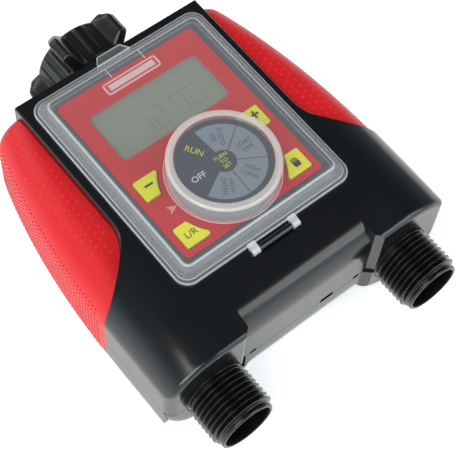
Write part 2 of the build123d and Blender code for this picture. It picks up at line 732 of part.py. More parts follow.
valve_parts = {}
for name, side in SIDES.items():
    x = side * OUTLET_X

    with BuildPart() as valve_body:
        add(turned([(-59.0, 0), (-59.0, 9.9), (-33, 9.9), (-33, 0)], x))
        add(upright([(0, 14.5), (12.4, 14.5), (12.4, VALVE_TOP_Z), (0, VALVE_TOP_Z)], x, VALVE_Y))
        # Socket for the outlet, seat pipe, and inlet port
        add(turned([(-61, 0), (-61, 8.0), (-55.5, 8.0), (-55.5, 6), (-45.5, 6), (-45.5, 0)], x),
            mode=Mode.SUBTRACT)
        add(turned([(-37.5, 0), (-37.5, 7.5), (-32, 7.5), (-32, 0)], x), mode=Mode.SUBTRACT)
        chamber_low = 33.4
        add(upright([(0, chamber_low), (10.4, chamber_low), (10.4, 40), (0, 40)], x, VALVE_Y), mode=Mode.SUBTRACT)
        add(upright([(3.2, 33), (5.2, 33), (5.2, 35.6), (3.2, 35.6)], x, VALVE_Y))
        add(upright([(0, 26), (3.2, 26), (3.2, 37), (0, 37)], x, VALVE_Y), mode=Mode.SUBTRACT)
    valve_body.part.label = f"{name}_valve_body"

    with BuildPart() as diaphragm:
        add(upright([(0, VALVE_TOP_Z), (12.2, VALVE_TOP_Z), (12.2, VALVE_TOP_Z + 1.2), (0, VALVE_TOP_Z + 1.2)], x,
                    VALVE_Y))
    diaphragm.part.label = f"{name}_diaphragm"

    with BuildPart() as bonnet:
        low_z = VALVE_TOP_Z + 1.2
        add(
            upright(
                [(4.2, low_z), (12.4, low_z), (12.4, BONNET_TOP_Z), (5.4, BONNET_TOP_Z), (5.4, COIL_TOP_Z - 1),
                 (4.2, COIL_TOP_Z - 1)],
                x,
                VALVE_Y,
            )
        )
    bonnet.part.label = f"{name}_bonnet"

    with BuildPart() as coil:
        low_z = BONNET_TOP_Z
        add(
            upright(
                [(5.45, low_z), (9.6, low_z), (9.6, low_z + 1), (9.0, low_z + 1), (9.0, COIL_TOP_Z - 1),
                 (9.6, COIL_TOP_Z - 1), (9.6, COIL_TOP_Z), (3.0, COIL_TOP_Z), (3.0, COIL_TOP_Z - 0.95),
                 (5.45, COIL_TOP_Z - 0.95)],
                x,
                VALVE_Y,
            )
        )
    coil.part.label = f"{name}_coil"

    with BuildPart() as plunger:
        add(
            upright(
                [(0, VALVE_TOP_Z + 1.5), (2.0, VALVE_TOP_Z + 1.5), (4.15, VALVE_TOP_Z + 3), (4.15, 43.6), (0, 43.6)],
                x,
                VALVE_Y,
            )
        )
    plunger.part.label = f"{name}_plunger"

    plunger_spring = coil_spring((x, VALVE_Y, 43.9), 3.2, 0.3, 3.6, 4.0)
    plunger_spring.label = f"{name}_plunger_spring"

    for piece in (valve_body.part, diaphragm.part, bonnet.part, coil.part, plunger.part, plunger_spring):
        valve_parts[piece.label] = piece

# ---------------------------------------------------------------- inlet and manifold

with BuildPart() as inlet_stem:
    add(
        turned(
            [(40, 8.0), (40, 10.0), (47.6, 10.0), (47.6, 13.5), (49.4, 13.5), (49.4, STEM_R), (64.6, STEM_R),
             (64.6, 12.2), (67.4, 12.2), (67.4, 8.0)]
        )
    )
inlet_stem.part.label = "inlet_stem"


def nut_profile():
    """Outline of the swivel nut: outside, then the ring thread inside its mouth."""
    points = [(NUT_FRONT_Y, STEM_R + 0.06), (NUT_FRONT_Y, 14.5), (NUT_FRONT_Y + 2.5, NUT_R), (NUT_BACK_Y - 1, NUT_R)]
    points += [(NUT_BACK_Y, NUT_R - 1), (NUT_BACK_Y, 14.2)]
    crest_half = 0.35
    flank = 0.45
    for turn in range(4):
        y = NUT_BACK_Y - 1.6 - turn * THREAD_PITCH
        points.append((y + crest_half + flank, 13.9))
        points.append((y + crest_half, 12.9))
        points.append((y - crest_half, 12.9))
        points.append((y - crest_half - flank, 13.9))
    points += [(64.3, 13.9), (64.3, STEM_R + 0.06)]
    return points


with BuildPart() as inlet_nut:
    add(turned(nut_profile()))
    # Lugs: upright blades with sloping root fillets
    for lug in range(LUG_COUNT):
        angle = radians(LUG_FIRST_ANGLE + lug * 360 / LUG_COUNT)
        outward = (cos(angle), 0, sin(angle))
        blade_plane = Plane(origin=(0, 0, AXIS_Z), x_dir=(0, 1, 0), z_dir=(-sin(angle), 0, cos(angle)))
        with BuildSketch(blade_plane.offset(-1.6)) as blade:
            with BuildLine():
                Polyline(
                    (NUT_FRONT_Y + 2.0, -NUT_R + 2),
                    (NUT_FRONT_Y + 2.8, -LUG_R),
                    (NUT_BACK_Y, -LUG_R),
                    (NUT_BACK_Y, -NUT_R + 2),
                    close=True,
                )
            make_face()
            fillet(blade.vertices().group_by(Axis.Y)[0], 3.6)
        extrude(amount=3.2)
        # Root fillet on both faces of the blade
        with BuildSketch(Plane.XZ.offset(-NUT_BACK_Y)):
            reach = 20.6
            with BuildLine():
                Polyline(
                    ((NUT_R - 0.8) * cos(angle + 0.24), AXIS_Z + (NUT_R - 0.8) * sin(angle + 0.24)),
                    (reach * cos(angle + 0.07), AXIS_Z + reach * sin(angle + 0.07)),
                    (reach * cos(angle - 0.07), AXIS_Z + reach * sin(angle - 0.07)),
                    ((NUT_R - 0.8) * cos(angle - 0.24), AXIS_Z + (NUT_R - 0.8) * sin(angle - 0.24)),
                    close=True,
                )
            make_face()
        extrude(amount=NUT_BACK_Y - NUT_FRONT_Y - 4)
    # Fine gripping ribs between the lugs
    for lug in range(LUG_COUNT):
        for step in range(1, 5):
            angle = radians(LUG_FIRST_ANGLE + (lug + step / 5) * 360 / LUG_COUNT)
            with BuildSketch(Plane.XZ.offset(-NUT_BACK_Y + 1)):
                with Locations((NUT_R * cos(angle), AXIS_Z + NUT_R * sin(angle))):
                    Circle(0.6)
            extrude(amount=NUT_BACK_Y - NUT_FRONT_Y - 4.5)
inlet_nut.part.label = "inlet_nut"

with BuildPart() as inlet_washer:
    add(turned([(67.4, 7.6), (67.4, 12.4), (69.8, 12.4), (69.8, 7.6)]))
inlet_washer.part.label = "inlet_washer"

with BuildPart() as inlet_filter:
    add(turned([(60.5, 0), (60.5, 5.0), (69.8, 7.5), (69.8, 6.9), (61.1, 4.5), (61.1, 0)]))
inlet_filter.part.label = "inlet_filter"

MANIFOLD_Y = 24.0

with BuildPart() as manifold:
    tube_r = 7.5
    bore_r = 5.2
    add(turned([(MANIFOLD_Y - 5, 0), (MANIFOLD_Y - 5, 12), (47.5, 12), (47.5, 0)]))
    with BuildSketch(Plane.YZ.offset(-OUTLET_X)):
        with Locations((MANIFOLD_Y, AXIS_Z)):
            Circle(tube_r)
    extrude(amount=2 * OUTLET_X)
    for side in SIDES.values():
        add(turned([(-37.3, 0), (-37.3, tube_r), (MANIFOLD_Y + tube_r, tube_r), (MANIFOLD_Y + tube_r, 0)],
                   side * OUTLET_X))
        add(turned([(-38, 0), (-38, bore_r), (MANIFOLD_Y + bore_r, bore_r), (MANIFOLD_Y + bore_r, 0)],
                   side * OUTLET_X), mode=Mode.SUBTRACT)
    with BuildSketch(Plane.YZ.offset(-OUTLET_X)):
        with Locations((MANIFOLD_Y, AXIS_Z)):
            Circle(bore_r)
    extrude(amount=2 * OUTLET_X, mode=Mode.SUBTRACT)
    add(turned([(MANIFOLD_Y, 0), (MANIFOLD_Y, bore_r), (40.0, bore_r), (40.0, 10.0), (48, 10.0), (48, 0)]),
        mode=Mode.SUBTRACT)
manifold.part.label = "manifold"

with BuildPart() as manifold_seals:
    for side in SIDES.values():
        x = side * OUTLET_X
        add(turned([(-33.0, 7.6), (-33.0, 9.6), (-31.2, 9.6), (-31.2, 7.6)], x))
manifold_seals.part.label = "manifold_seals"

with BuildPart() as outlet_seals:
    for side in SIDES.values():
        x = side * OUTLET_X
        add(turned([(-60.0, 8.1), (-60.0, 9.8), (-59.0, 9.8), (-59.0, 8.1)], x))
outlet_seals.part.label = "outlet_seals"

# ---------------------------------------------------------------- batteries

CELL_Z = COVER_THICKNESS + 1.0 + CELL_R
CELL_MIDDLE_Y = (BAY_FRONT_Y + BAY_BACK_Y) / 2
CELL_XS = [(i - (CELL_COUNT - 1) / 2) * CELL_PITCH for i in range(CELL_COUNT)]
CELL_LOW_Y = CELL_MIDDLE_Y - CELL_LENGTH / 2
CELL_HIGH_Y = CELL_MIDDLE_Y + CELL_LENGTH / 2

with BuildPart() as battery_tray:
    add(box_between((-BAY_HALF_X, BAY_FRONT_Y, 3), (BAY_HALF_X, BAY_BACK_Y, BAY_TOP_Z)))
    add(
        box_between((-BAY_HALF_X + 1, BAY_FRONT_Y + 1.2, 2), (BAY_HALF_X - 1, BAY_BACK_Y - 1.2, BAY_TOP_Z - 1.8)),
        mode=Mode.SUBTRACT,
    )
battery_tray.part.label = "battery_tray"

with BuildPart() as battery_cover:
    low = (-BAY_HALF_X + 0.25, BAY_FRONT_Y + 0.25, 0)
    high = (BAY_HALF_X - 0.25, BAY_BACK_Y - 0.25, COVER_THICKNESS)
    add(box_between(low, high))
    fillet(battery_cover.edges().filter_by(Axis.Z), 1.0)
    # Grip ridges and the finger dip of its latch
    with BuildSketch(Plane.XY.offset(0)):
        with Locations((0, BAY_BACK_Y - 8)):
            SlotOverall(18, 8)
    extrude(amount=1.0, mode=Mode.SUBTRACT)
battery_cover.part.label = "battery_cover"

with BuildPart() as batteries:
    for x in CELL_XS:
        with BuildSketch(Plane.XZ.offset(-CELL_HIGH_Y)):
            with Locations((x, CELL_Z)):
                Circle(CELL_R)
        extrude(amount=CELL_LENGTH)
        with BuildSketch(Plane.XZ.offset(-CELL_HIGH_Y - 1.4)):
            with Locations((x, CELL_Z)):
                Circle(2.7)
        extrude(amount=1.5)
batteries.part.label = "batteries"

with BuildPart() as battery_plates:
    for x in CELL_XS:
        low = (x - 5, CELL_HIGH_Y + 1.4, CELL_Z - 5)
        add(box_between(low, (x + 5, CELL_HIGH_Y + 1.9, CELL_Z + 5)))
battery_plates.part.label = "battery_plates"

battery_springs = Compound(
    label="battery_springs",
    children=[
        coil_spring((x, CELL_LOW_Y - 4.3, CELL_Z), 3.4, 0.35, 3.7, 3.0, (0, 1, 0))
        for x in CELL_XS
    ],
)

with BuildPart() as housing_screws:
    for x, y in SCREW_POSTS:
        add(upright([(0, 8.0), (1.42, 8.0), (1.42, 36), (0, 36)], x, y))
        add(upright([(0, 6.0), (2.6, 6.0), (2.6, 8.0), (0, 8.0)], x, y))
housing_screws.part.label = "housing_screws"

# ---------------------------------------------------------------- export

solids = [
    front_housing.part,
    rear_housing.part,
    *grips.values(),
    panel_bezel.part,
    control_panel.part,
    display_window.part,
    display_module.part,
    display_frame.part,
    panel_badge.part,
    control_board.part,
    board_screws.part,
    board_spacers.part,
    *key_parts.values(),
    key_switches.part,
    rotary_switch.part,
    dial_shaft.part,
    dial_knob.part,
    dial_disc.part,
    lid.part,
    hinge_pin.part,
    *outlets.values(),
    *valve_parts.values(),
    inlet_stem.part,
    inlet_nut.part,
    inlet_washer.part,
    inlet_filter.part,
    manifold.part,
    manifold_seals.part,
    outlet_seals.part,
    battery_tray.part,
    battery_cover.part,
    batteries.part,
    battery_plates.part,
    battery_springs,
    housing_screws.part,
]
for solid in solids:
    export_step(solid, f"parts/{solid.label}.step")
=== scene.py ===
import json
import math

import bmesh
import bpy
from mathutils import Matrix, Vector
from mathutils.bvhtree import BVHTree


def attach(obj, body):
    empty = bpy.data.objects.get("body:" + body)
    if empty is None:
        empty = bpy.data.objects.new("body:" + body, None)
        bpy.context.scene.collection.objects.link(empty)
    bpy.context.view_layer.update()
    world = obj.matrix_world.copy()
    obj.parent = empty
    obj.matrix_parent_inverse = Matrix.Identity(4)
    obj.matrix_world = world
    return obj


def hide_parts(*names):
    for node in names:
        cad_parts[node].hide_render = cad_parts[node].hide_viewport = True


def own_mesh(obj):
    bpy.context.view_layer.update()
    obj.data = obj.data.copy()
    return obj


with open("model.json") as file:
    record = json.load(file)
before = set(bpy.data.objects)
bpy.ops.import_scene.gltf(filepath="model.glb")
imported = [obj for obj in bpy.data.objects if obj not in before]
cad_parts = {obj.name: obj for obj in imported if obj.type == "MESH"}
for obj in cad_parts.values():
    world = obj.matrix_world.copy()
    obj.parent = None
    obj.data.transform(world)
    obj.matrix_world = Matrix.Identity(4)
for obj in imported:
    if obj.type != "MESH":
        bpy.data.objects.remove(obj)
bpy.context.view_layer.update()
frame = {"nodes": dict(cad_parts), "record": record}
nodes = frame["nodes"]

# Lengths are in millimetres unless a comment says metres
MM = 0.001
AXIS_Z = 26.0  # height of the outlets' and the inlet's axes
OUTLET_X = 47.2
DIAL = (0.0, -20.3)  # the dial's centre
PITCH = 25.4 / 11.5  # garden hose thread


# ------------------------------------------------------------------ materials


def srgb(r, g, b):
    """Linear colour from 0-255 screen values."""
    out = []
    for value in (r, g, b):
        c = value / 255.0
        out.append(c / 12.92 if c <= 0.04045 else ((c + 0.055) / 1.055) ** 2.4)
    return (*out, 1.0)


def new_material(name):
    mat = bpy.data.materials.new(name)
    mat.use_nodes = True
    tree = mat.node_tree
    tree.nodes.clear()
    out = tree.nodes.new("ShaderNodeOutputMaterial")
    bsdf = tree.nodes.new("ShaderNodeBsdfPrincipled")
    tree.links.new(bsdf.outputs[0], out.inputs[0])
    return mat, tree, bsdf, out


def noise(tree, scale, detail=2.0, roughness=0.5):
    """Noise fixed to the piece, from 0 to 1."""
    coords = tree.nodes.new("ShaderNodeTexCoord")
    node = tree.nodes.new("ShaderNodeTexNoise")
    node.inputs["Scale"].default_value = scale
    node.inputs["Detail"].default_value = detail
    node.inputs["Roughness"].default_value = roughness
    tree.links.new(coords.outputs["Object"], node.inputs["Vector"])
    return node.outputs["Fac"]


def map_range(tree, value, source, target, smooth=False):
    """value's range source, as (from, to), stretched over the range target."""
    node = tree.nodes.new("ShaderNodeMapRange")
    if smooth:
        node.interpolation_type = "SMOOTHSTEP"
    node.inputs["From Min"].default_value, node.inputs["From Max"].default_value = source
    node.inputs["To Min"].default_value, node.inputs["To Max"].default_value = target
    tree.links.new(value, node.inputs["Value"])
    return node.outputs[0]


def mix_colour(tree, share, first, second):
    """first turning into the fixed colour second by share; first is a colour or another node's output."""
    factor_in, first_in, second_in = 0, 6, 7
    node = tree.nodes.new("ShaderNodeMix")
    node.data_type = "RGBA"
    tree.links.new(share, node.inputs[factor_in])
    if isinstance(first, bpy.types.NodeSocket):
        tree.links.new(first, node.inputs[first_in])
    else:
        node.inputs[first_in].default_value = first
    node.inputs[second_in].default_value = second
    return node.outputs[2]


def add_relief(tree, bsdf, height, strength, distance):
    node = tree.nodes.new("ShaderNodeBump")
    node.inputs["Strength"].default_value = strength
    node.inputs["Distance"].default_value = distance
    tree.links.new(height, node.inputs["Height"])
    tree.links.new(node.outputs[0], bsdf.inputs["Normal"])


def moulded(name, colour, rough, spread, grain, bump, mottled, ior=1.5, scuffs=0.0):
    """Moulded plastic or rubber: fine grain in the surface, slow colour mottling, and lighter scuffs."""
    mat, tree, bsdf, _ = new_material(name)
    slow = noise(tree, 60.0, 4)
    dark = (*[max(0.0, c * (1 - mottled)) for c in colour[:3]], 1)
    light = (*[min(1.0, c * (1 + mottled)) for c in colour[:3]], 1)
    look = mix_colour(tree, slow, dark, light)
    if scuffs:
        worn = map_range(tree, noise(tree, 240, 8, 0.7), (0.62, 0.78), (0.0, scuffs))
        pale = (*[min(1.0, c * 1.7 + 0.02) for c in colour[:3]], 1)
        look = mix_colour(tree, worn, look, pale)
    tree.links.new(look, bsdf.inputs["Base Color"])
    roughness = map_range(tree, slow, (0.0, 1.0), (rough - spread, rough + spread))
    tree.links.new(roughness, bsdf.inputs["Roughness"])
    if bump:
        add_relief(tree, bsdf, noise(tree, grain, 3), bump, 0.0001)
    bsdf.inputs["IOR"].default_value = ior
    return mat


def clear(name, tint, haze_and_reflection, rough, rim, milk=(0.82, 0.83, 0.84, 1)):
    """Clear moulding: mostly see-through and glossy, with a milky share that is partly real milkiness and
    partly painted reflection, and more milk where it is seen edge on, a painted highlight on its edges.
    """
    mat, tree, bsdf, out = new_material(name)
    link = tree.links.new
    bsdf.inputs["Base Color"].default_value = milk
    bsdf.inputs["Roughness"].default_value = rough
    bsdf.inputs["IOR"].default_value = 1.5
    add_relief(tree, bsdf, noise(tree, 90), 0.015, 0.0003)
    through = tree.nodes.new("ShaderNodeBsdfTransparent")
    through.inputs[0].default_value = tint
    edge = tree.nodes.new("ShaderNodeLayerWeight")
    edge.inputs["Blend"].default_value = 0.3
    blend = tree.nodes.new("ShaderNodeMixShader")
    # Milk rises from face on to edge on: the edge-on share is a painted highlight
    link(map_range(tree, edge.outputs["Facing"], (0.0, 1.0), (haze_and_reflection, rim)), blend.inputs[0])
    link(through.outputs[0], blend.inputs[1])
    link(bsdf.outputs[0], blend.inputs[2])
    link(blend.outputs[0], out.inputs[0])
    return mat


def metal(name, colour, rough):
    """Bare metal with finely uneven gloss."""
    mat, tree, bsdf, _ = new_material(name)
    roughness = map_range(tree, noise(tree, 900, 5), (0.0, 1.0), (rough * 0.7, rough * 1.4))
    tree.links.new(roughness, bsdf.inputs["Roughness"])
    bsdf.inputs["Base Color"].default_value = colour
    bsdf.inputs["Metallic"].default_value = 1.0
    return mat


# key: name, colour, roughness, its spread, grain, bump, mottling, index of refraction, scuffs
MOULDED = {
    "black_plastic": ("housing black", (0.0095, 0.0105, 0.0118, 1), 0.19, 0.04, 2400, 0.07, 0.15, 1.62, 0.04),
    "outlet_plastic": ("outlet black", (0.0055, 0.0055, 0.0065, 1), 0.2, 0.04, 1500, 0.03, 0.15, 1.52, 0.04),
    # Near-black, rough material for the bores: painted shade inside the outlets
    "bore_dark": ("bore dark", (0.002, 0.002, 0.002, 1), 0.6, 0.05, 1500, 0.03, 0.15, 1.15),
    "nut_plastic": ("nut black", (0.0085, 0.0085, 0.0095, 1), 0.27, 0.06, 1800, 0.08, 0.2, 1.5, 0.06),
    "red_grip": ("grip red", srgb(228, 30, 36), 0.44, 0.05, 2600, 0.12, 0.05, 1.45),
    # Darker red for the side dots: painted shade on and between them
    "side_dot_painted_shade": ("grip dot dark red", srgb(196, 10, 20), 0.5, 0.05, 2600, 0.05, 0.05, 1.4),
    # Paler pink for the top dots: painted highlight where they catch the light
    "grip_dot": ("grip dot red", srgb(240, 74, 76), 0.34, 0.05, 2600, 0.05, 0.05, 1.45),
    "grey_plastic": ("bezel grey", srgb(70, 75, 82), 0.5, 0.05, 2200, 0.10, 0.08),
    "red_panel": ("panel red", srgb(198, 34, 42), 0.38, 0.04, 2400, 0.05, 0.04),
    "yellow_key": ("key yellow", srgb(226, 226, 26), 0.5, 0.04, 2200, 0.08, 0.04, 1.45),
    "dial_print": ("dial print dark", srgb(62, 68, 78), 0.5, 0.05, 2400, 0.05, 0.06),
    "dial_light": ("dial print light", srgb(126, 134, 146), 0.5, 0.05, 2400, 0.05, 0.05),
    "dial_line": ("dial print line", srgb(74, 80, 90), 0.5, 0.05, 2400, 0.0, 0.05),
    "dial_white": ("print white", srgb(196, 200, 206), 0.5, 0.04, 2400, 0.0, 0.03),
    "dial_yellow": ("print yellow", srgb(186, 196, 44), 0.5, 0.04, 2400, 0.0, 0.03),
    "key_print": ("key print", srgb(40, 44, 30), 0.5, 0.04, 2400, 0.0, 0.05),
    "white_plastic": ("white plastic", srgb(226, 226, 220), 0.4, 0.05, 2200, 0.06, 0.05),
    "pointer_pale": ("pointer pale", srgb(214, 150, 152), 0.42, 0.05, 2400, 0.04, 0.06),
    "badge_silver": ("badge", srgb(224, 190, 190), 0.42, 0.05, 2400, 0.04, 0.06),
    "badge_red": ("badge red", srgb(206, 62, 68), 0.42, 0.05, 2400, 0.0, 0.05),
    "display_grey": ("display", srgb(128, 136, 114), 0.32, 0.05, 1800, 0.03, 0.05),
    "display_mark": ("display mark", srgb(118, 126, 106), 0.4, 0.05, 1800, 0.0, 0.05),
    "board_green": ("board", (0.02, 0.14, 0.06, 1), 0.35, 0.05, 2000, 0.05, 0.1),
    "valve_plastic": ("valve nylon", srgb(206, 206, 196), 0.5, 0.06, 1800, 0.08, 0.06),
    "black_rubber": ("black rubber", (0.016, 0.016, 0.017, 1), 0.62, 0.06, 1600, 0.15, 0.15),
    "coil_tape": ("coil tape", srgb(156, 84, 34), 0.45, 0.06, 1400, 0.1, 0.15),
    "cell_sleeve": ("cell sleeve", srgb(64, 72, 88), 0.35, 0.05, 1800, 0.03, 0.08),
}
# key: name, colour, roughness
METALS = {
    "steel": ("steel", (0.55, 0.55, 0.56, 1), 0.3),
    "spring_steel": ("spring steel", (0.6, 0.6, 0.6, 1), 0.25),
    "filter_mesh": ("filter mesh", (0.45, 0.45, 0.46, 1), 0.45),
}
# key: name, tint, milkiness seen face on with painted reflection, roughness, milkiness seen edge on as
# painted edge highlight, milk colour
CLEARS = {
    "clear_plastic": ("lid clear", (0.98, 0.982, 0.985, 1), 0.03, 0.05, 0.22),
    "clear_wall": ("lid clear wall", (0.94, 0.945, 0.95, 1), 0.13, 0.10, 0.36),
    # Milky edge material: painted highlight along the lid's edges, the tab's sides, the lugs and the ribs
    "clear_edge_highlight": ("lid clear edge painted highlight", (0.95, 0.955, 0.96, 1), 0.50, 0.08, 0.85),
    # Milky cream ring material: partly real milkiness, partly painted highlight on the dial window's wall
    "clear_ring_milk_and_highlight": ("lid clear ring milk and painted highlight", (0.95, 0.93, 0.92, 1), 0.56, 0.12, 0.85, (0.88, 0.83, 0.80, 1)),
    "clear_window": ("display window clear", (0.97, 0.98, 0.96, 1), 0.05, 0.06, 0.3),
}
MATS = {key: moulded(*look) for key, look in MOULDED.items()}
MATS.update({key: metal(*look) for key, look in METALS.items()})
MATS.update({key: clear(*look) for key, look in CLEARS.items()})

slot_of = {entry["node"]: entry["material_slot"] for entry in frame["record"]["subparts"]}
for node_name, node in nodes.items():
    node.data.materials.clear()
    node.data.materials.append(MATS[slot_of[node_name]])


# ------------------------------------------------------------------ mesh helpers


def add_piece(name, verts, faces, mats, body, scale=MM, sharp=40.0):
    """A mesh piece riding on a CAD body. Points are in millimetres, or in metres when scale is 1."""
    mesh = bpy.data.meshes.new(name)
    mesh.from_pydata([tuple(c * scale for c in v) for v in verts], [], faces)
    mesh.validate()
    obj = bpy.data.objects.new(name, mesh)
    bpy.context.scene.collection.objects.link(obj)
    bm = bmesh.new()
    bm.from_mesh(mesh)
    bmesh.ops.recalc_face_normals(bm, faces=bm.faces)
    bm.to_mesh(mesh)
    bm.free()
    for mat in mats:
        mesh.materials.append(MATS[mat])
    shade(mesh, sharp)
    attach(obj, body)
    return obj


def shade(mesh, sharp):
    """Smooth faces with creases of sharp degrees or more kept, so that flats stay flat."""
    for poly in mesh.polygons:
        poly.use_smooth = True
    bm = bmesh.new()
    bm.from_mesh(mesh)
    limit = math.radians(sharp)
    for edge in bm.edges:
        edge.smooth = len(edge.link_faces) == 2 and edge.calc_face_angle(0.0) < limit
    bm.to_mesh(mesh)
    bm.free()


def bmesh_piece(name, bm, mats, body):
    """Turn a finished bmesh in millimetres into a piece, and free it."""
    bm.verts.index_update()
    verts = [tuple(v.co) for v in bm.verts]
    faces = [tuple(v.index for v in f.verts) for f in bm.faces]
    bm.free()
    return add_piece(name, verts, faces, mats, body)


def extrude_faces(bm, axis, level):
    """Extrude every face of bm, and put the new end at level along axis (0, 1 or 2)."""
    result = bmesh.ops.extrude_face_region(bm, geom=bm.faces[:])
    for item in result["geom"]:
        if isinstance(item, bmesh.types.BMVert):
            item.co[axis] = level


def box_piece(name, low, high, mat, body, bevel, segments=1):
    """Bevelled block between two corners."""
    bm = bmesh.new()
    bmesh.ops.create_cube(bm, size=1.0)
    for v in bm.verts:
        v.co = Vector([(low[i] + high[i]) / 2 + v.co[i] * (high[i] - low[i]) for i in range(3)])
    if bevel:
        bmesh.ops.bevel(bm, geom=bm.edges[:], offset=bevel, segments=segments, profile=0.5, affect="EDGES")
    return bmesh_piece(name, bm, [mat], body)


def prism(name, outline, low_z, high_z, mats, body, bevel=0.0):
    """Flat plate from an outline of (x, y) points, with its top edge bevelled."""
    bm = bmesh.new()
    bm.faces.new([bm.verts.new((x, y, low_z)) for x, y in outline])
    extrude_faces(bm, 2, high_z)
    bm.normal_update()
    if bevel:
        top_edges = [e for e in bm.edges if all(abs(v.co.z - high_z) < 1e-6 for v in e.verts)]
        bmesh.ops.bevel(bm, geom=top_edges, offset=bevel, segments=2, profile=0.5, affect="EDGES")
    return bmesh_piece(name, bm, mats, body)


def skin(rings, closed_loop=True):
    """Faces joining equal rings of points; with closed_loop the last ring joins the first."""
    verts = [p for ring in rings for p in ring]
    count = len(rings[0])
    faces = []
    last = len(rings) if closed_loop else len(rings) - 1
    for i in range(last):
        a = i * count
        b = ((i + 1) % len(rings)) * count
        for k in range(count):
            n = (k + 1) % count
            faces.append((a + k, a + n, b + n, b + k))
    return verts, faces


def smoothstep(t):
    t = min(1.0, max(0.0, t))
    return t * t * (3 - 2 * t)


def circle_points(centre, radius, count):
    """Points round a circle, in the plane of centre's two coordinates."""
    angles = [2 * math.pi * k / count for k in range(count)]
    return [(centre[0] + radius * math.cos(a), centre[1] + radius * math.sin(a)) for a in angles]


# ------------------------------------------------------------------ outlets with true helical threads


def thread_height(phase, crest=0.10):
    """0 to 1 height of a hose thread over one pitch: a flat crest and a V-shaped groove."""
    phase = abs((phase + 0.5) % 1.0 - 0.5)
    if phase < crest / 2:
        return 1.0
    return 1 - ((phase - crest / 2) / (0.5 - crest / 2)) ** 1.05


def outlet(name, side, cad_node):
    """Threaded spout: plain neck, helical thread, rounded mouth and bore, as rings of (y, radius)."""
    steps = 112
    rows_per_pitch = 26
    crest_r, root_r, bore_r = 13.49, 11.75, 10.5
    first, last = -77.4, -95.2  # the thread fades in and out at these
    phase_y = -78.1
    neck = [(-62.4, 13.0), (-76.8, 13.0), (-77.1, 12.8), (-77.35, root_r + 0.3)]
    mouth = [(-95.5, root_r + 0.1), (-95.7, 12.0), (-96.3, 12.0), (-96.8, 11.8), (-96.95, 11.5)]
    mouth += [(-97.0, 11.2), (-96.95, 10.9), (-96.75, 10.6), (-96.2, 10.35)]
    bore = [(-94.0, 10.2), (-68.0, 10.15), (-66.4, 9.6), (-62.6, 6.1)]
    profile = [[point] * steps for point in neck]
    y = first
    while y > last:
        fade = min(smoothstep((first - y) / 1.2), smoothstep((y - last) / 1.4))
        heights = [thread_height((y - phase_y) / PITCH + k / steps) * fade for k in range(steps)]
        profile.append([(y, root_r + (crest_r - root_r) * height) for height in heights])
        y -= PITCH / rows_per_pitch
    profile += [[point] * steps for point in mouth + bore]
    rings = []
    for ring in profile:
        points = []
        for k, (y, r) in enumerate(ring):
            a = 2 * math.pi * k / steps
            points.append((side * OUTLET_X + r * math.cos(a), y, AXIS_Z + r * math.sin(a)))
        rings.append(points)
    verts, faces = skin(rings)
    obj = add_piece(name, verts, faces, ["outlet_plastic", "bore_dark"], "housing", sharp=50)
    # Faces inside the bore take the near-black material: painted shade in the bore
    for poly in obj.data.polygons:
        middle = poly.center / MM
        if math.hypot(middle.x - side * OUTLET_X, middle.z - AXIS_Z) < bore_r:
            poly.material_index = 1
    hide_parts(cad_node)


outlet("left_spout", -1, "left_outlet")
outlet("right_spout", 1, "right_outlet")


# ------------------------------------------------------------------ swivel nut


def from_nearest(angle, start, spacing):
    """Degrees from angle to the nearest of the directions start, start + spacing and so on."""
    return abs((angle - start + spacing / 2) % spacing - spacing / 2)


def nut():
    """Swivel nut: five rounded lobes, soft gripping ribs between them, and a helical thread in the mouth."""
    steps = 300
    root, tip = 18.0, 25.6
    lobe_angle, lobe_spacing, rib_spacing = 46.0, 360 / 5, 360 / 25
    rib_height, rib_half_width = 0.6, 2.4
    outside = [(60.5, 14.4), (60.7, 15.2), (61.4, 16.6), (62.2, 17.5), (63.0, root)]
    outside += [(63.0 + 0.5 * k, root) for k in range(1, 33)]
    outside += [(79.5, 17.8), (79.85, 17.4), (80.0, 16.8)]
    rings = []
    for y, base in outside:
        rise = smoothstep((y - 61.6) / 5.4) * (1 - 0.42 * smoothstep((y - 75.0) / 5.0) ** 1.5)
        rib_rise = smoothstep((y - 62.6) / 2.5) * (1 - smoothstep((y - 77.6) / 2.0))
        ring = []
        for k in range(steps):
            angle = 360 * k / steps
            apart = from_nearest(angle, lobe_angle, lobe_spacing)
            lobe = 1 - smoothstep((apart - 3.2) / 9.0)
            off_rib = from_nearest(angle, lobe_angle, rib_spacing)
            rib = max(0.0, 1 - (off_rib / rib_half_width) ** 2) if apart > 10 else 0.0
            r = base + (tip - base) * lobe * rise + rib_height * rib * rib_rise
            a = math.radians(angle)
            ring.append((r * math.cos(a), y, AXIS_Z + r * math.sin(a)))
        rings.append(ring)
    # Down the mouth; a ring with no radius of its own is threaded
    thread_r, thread_depth, thread_top, thread_end = 13.9, 0.95, 79.2, 71.4
    inside = [(80.0, 14.4), (79.75, 14.0), (79.3, thread_r)]
    inside += [(thread_top - PITCH * k / 16, None) for k in range(56)]
    inside += [(71.3, thread_r), (64.3, thread_r), (64.3, 10.96), (60.5, 10.96)]
    for y, radius in inside:
        ring = []
        for k in range(steps):
            a = 2 * math.pi * k / steps
            r = radius
            if r is None:
                fade = min(smoothstep((thread_top - y) / 1.2), smoothstep((y - thread_end) / 1.2))
                r = thread_r - thread_depth * fade * thread_height(y / PITCH - k / steps, 0.3)
            ring.append((r * math.cos(a), y, AXIS_Z + r * math.sin(a)))
        rings.append(ring)
    verts, faces = skin(rings)
    obj = add_piece("swivel_nut", verts, faces, ["nut_plastic"], "nut", sharp=48)
    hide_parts("inlet_nut")


nut()


# ------------------------------------------------------------------ plunger springs


